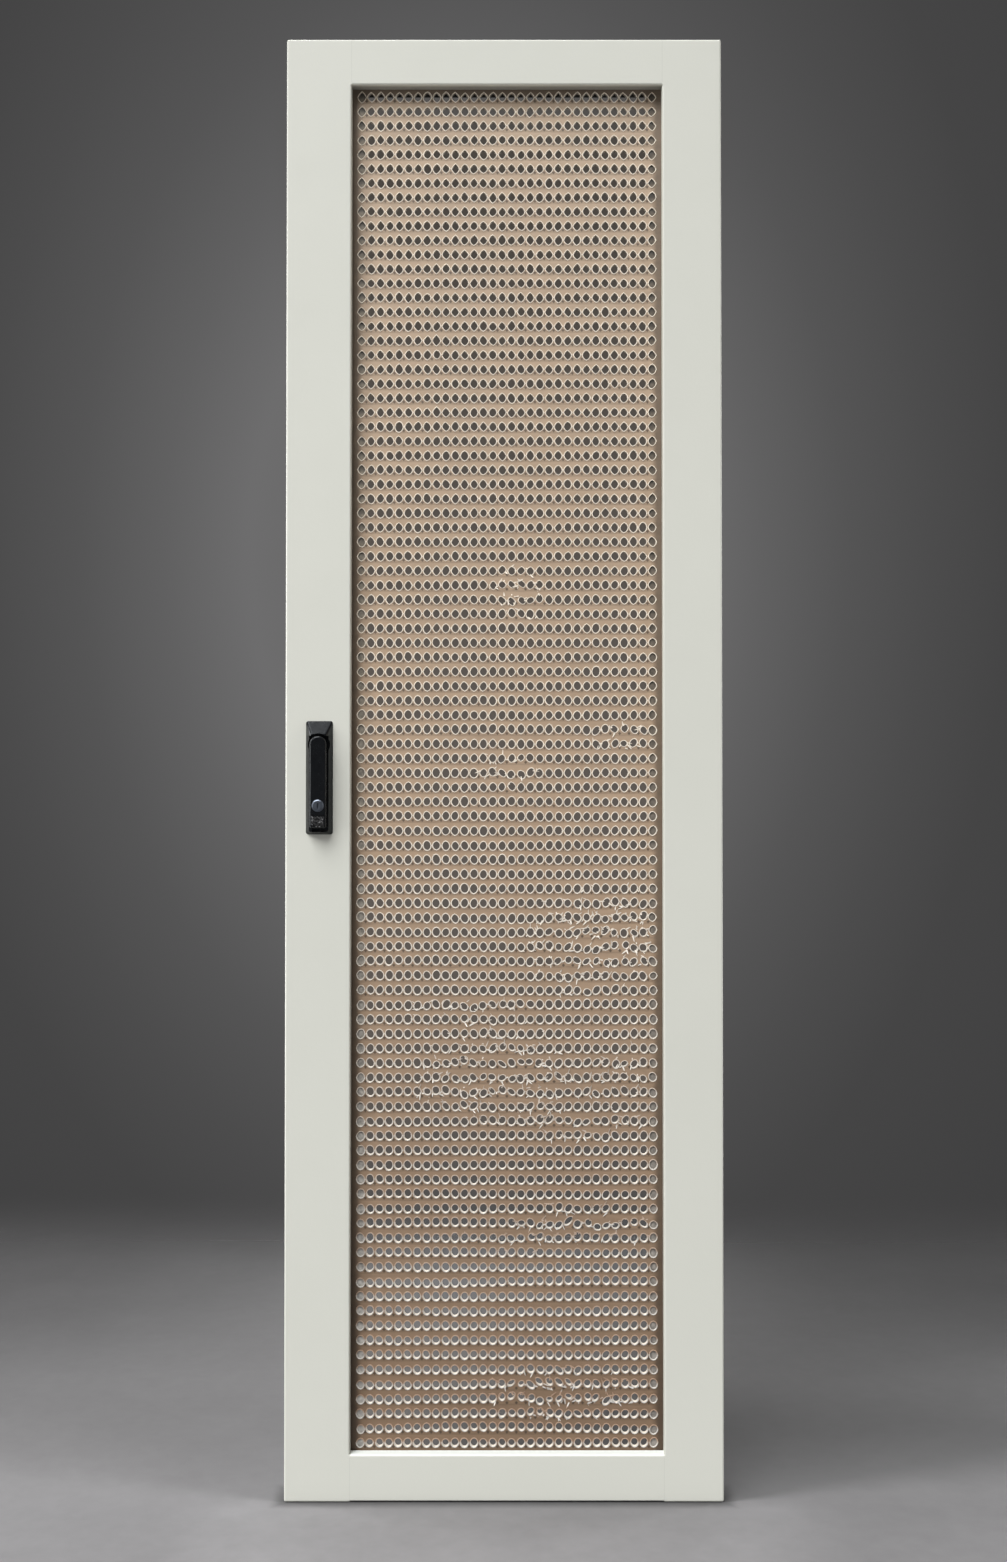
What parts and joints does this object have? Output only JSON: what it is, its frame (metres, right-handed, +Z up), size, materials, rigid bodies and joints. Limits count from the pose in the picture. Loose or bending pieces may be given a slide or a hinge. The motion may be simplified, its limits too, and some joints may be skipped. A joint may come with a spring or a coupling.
{
  "type": "acrylic rack door",
  "caption": "Tall framed rack door with a perforated tan acrylic panel, a black swing handle that works lock bars, and lift-off hinges on the right.",
  "frame": {"origin": "on the hinge axis, at the mouth of the lower hinge bush, where the cabinet's pin enters from below", "axes": "+Z up along the hinge axis, +Y to the back of the door, +X to the right seen from the front"},
  "size_m": [0.59, 0.0758, 1.975],
  "materials": {
    "frame_paint": "warm light grey powder coat, satin, fine grain",
    "tan_acrylic": "tan acrylic, glossy, with pale rims round the perforations",
    "foam_rubber": "matt black foam tape",
    "zinc_steel": "zinc plated sheet",
    "fastener_steel": "bright zinc plated",
    "black_casting": "black satin coat on a casting",
    "grip_rubber": "dark textured pad",
    "lock_steel": "dark nickel, turned face",
    "guide_nylon": "natural nylon"
  },
  "bodies": {
    "door": {"left_stile": "frame_paint", "right_stile": "frame_paint", "top_rail": "frame_paint", "bottom_rail": "frame_paint", "acrylic_panel": "tan_acrylic", "panel_gasket": "foam_rubber", "clamp_strip_left": "zinc_steel", "clamp_strip_right": "zinc_steel", "clamp_strip_top": "zinc_steel", "clamp_strip_bottom": "zinc_steel", "clamp_studs": "fastener_steel", "clamp_nuts": "fastener_steel", "handle_dish": "black_casting", "handle_backplate": "zinc_steel", "dish_screws": "fastener_steel", "bar_guides": "guide_nylon", "upper_hinge_bracket": "zinc_steel", "hinge_spring": "fastener_steel", "lower_hinge_bracket": "zinc_steel", "lower_hinge_bush": "guide_nylon", "earth_stud": "fastener_steel"},
    "turret": {"spindle_hub": "black_casting", "spindle_clip": "fastener_steel", "latch_cam": "zinc_steel", "cam_pins": "fastener_steel", "cam_washer": "fastener_steel", "cam_screw": "fastener_steel"},
    "lever": {"swing_lever": "black_casting", "lever_pin": "fastener_steel", "grip_pad": "grip_rubber", "lock_housing": "lock_steel"},
    "plug": {"lock_plug": "lock_steel", "lock_tailpiece": "zinc_steel"},
    "upper_bar": {"upper_lock_bar": "zinc_steel"},
    "lower_bar": {"lower_lock_bar": "zinc_steel"},
    "spring_pin": {"hinge_pin": "fastener_steel", "hinge_pin_clip": "fastener_steel"}
  },
  "joints": [
    {"name": "handle_turn", "type": "hinge", "parent": "door", "child": "turret", "pos_m": [-0.528, -0.045, 0.9155], "axis": [0, -1, 0], "range_deg": [0, 90]},
    {"name": "lever_lift", "type": "hinge", "parent": "turret", "child": "lever", "pos_m": [-0.528, -0.0585, 0.9155], "axis": [-1, 0, 0], "range_deg": [0, 35]},
    {"name": "key_turn", "type": "hinge", "parent": "lever", "child": "plug", "pos_m": [-0.528, -0.06, 0.8332], "axis": [0, -1, 0], "range_deg": [0, 90]},
    {"name": "upper_bar_slide", "type": "slide", "parent": "door", "child": "upper_bar", "axis": [0, 0, -1], "range_m": [0, 0.02405]},
    {"name": "lower_bar_slide", "type": "slide", "parent": "door", "child": "lower_bar", "axis": [0, 0, 1], "range_m": [0, 0.02405]},
    {"name": "hinge_pin_slide", "type": "slide", "parent": "door", "child": "spring_pin", "axis": [0, 0, -1], "range_m": [0, 0.012], "stiffness_N_per_m": 400, "springref_m": -0.01, "deforming": ["hinge_spring"]}
  ],
  "couplings": [
    {"joint": "upper_bar_slide", "follows": "handle_turn", "m_per_rad": 0.015305},
    {"joint": "lower_bar_slide", "follows": "handle_turn", "m_per_rad": 0.015305}
  ]
}
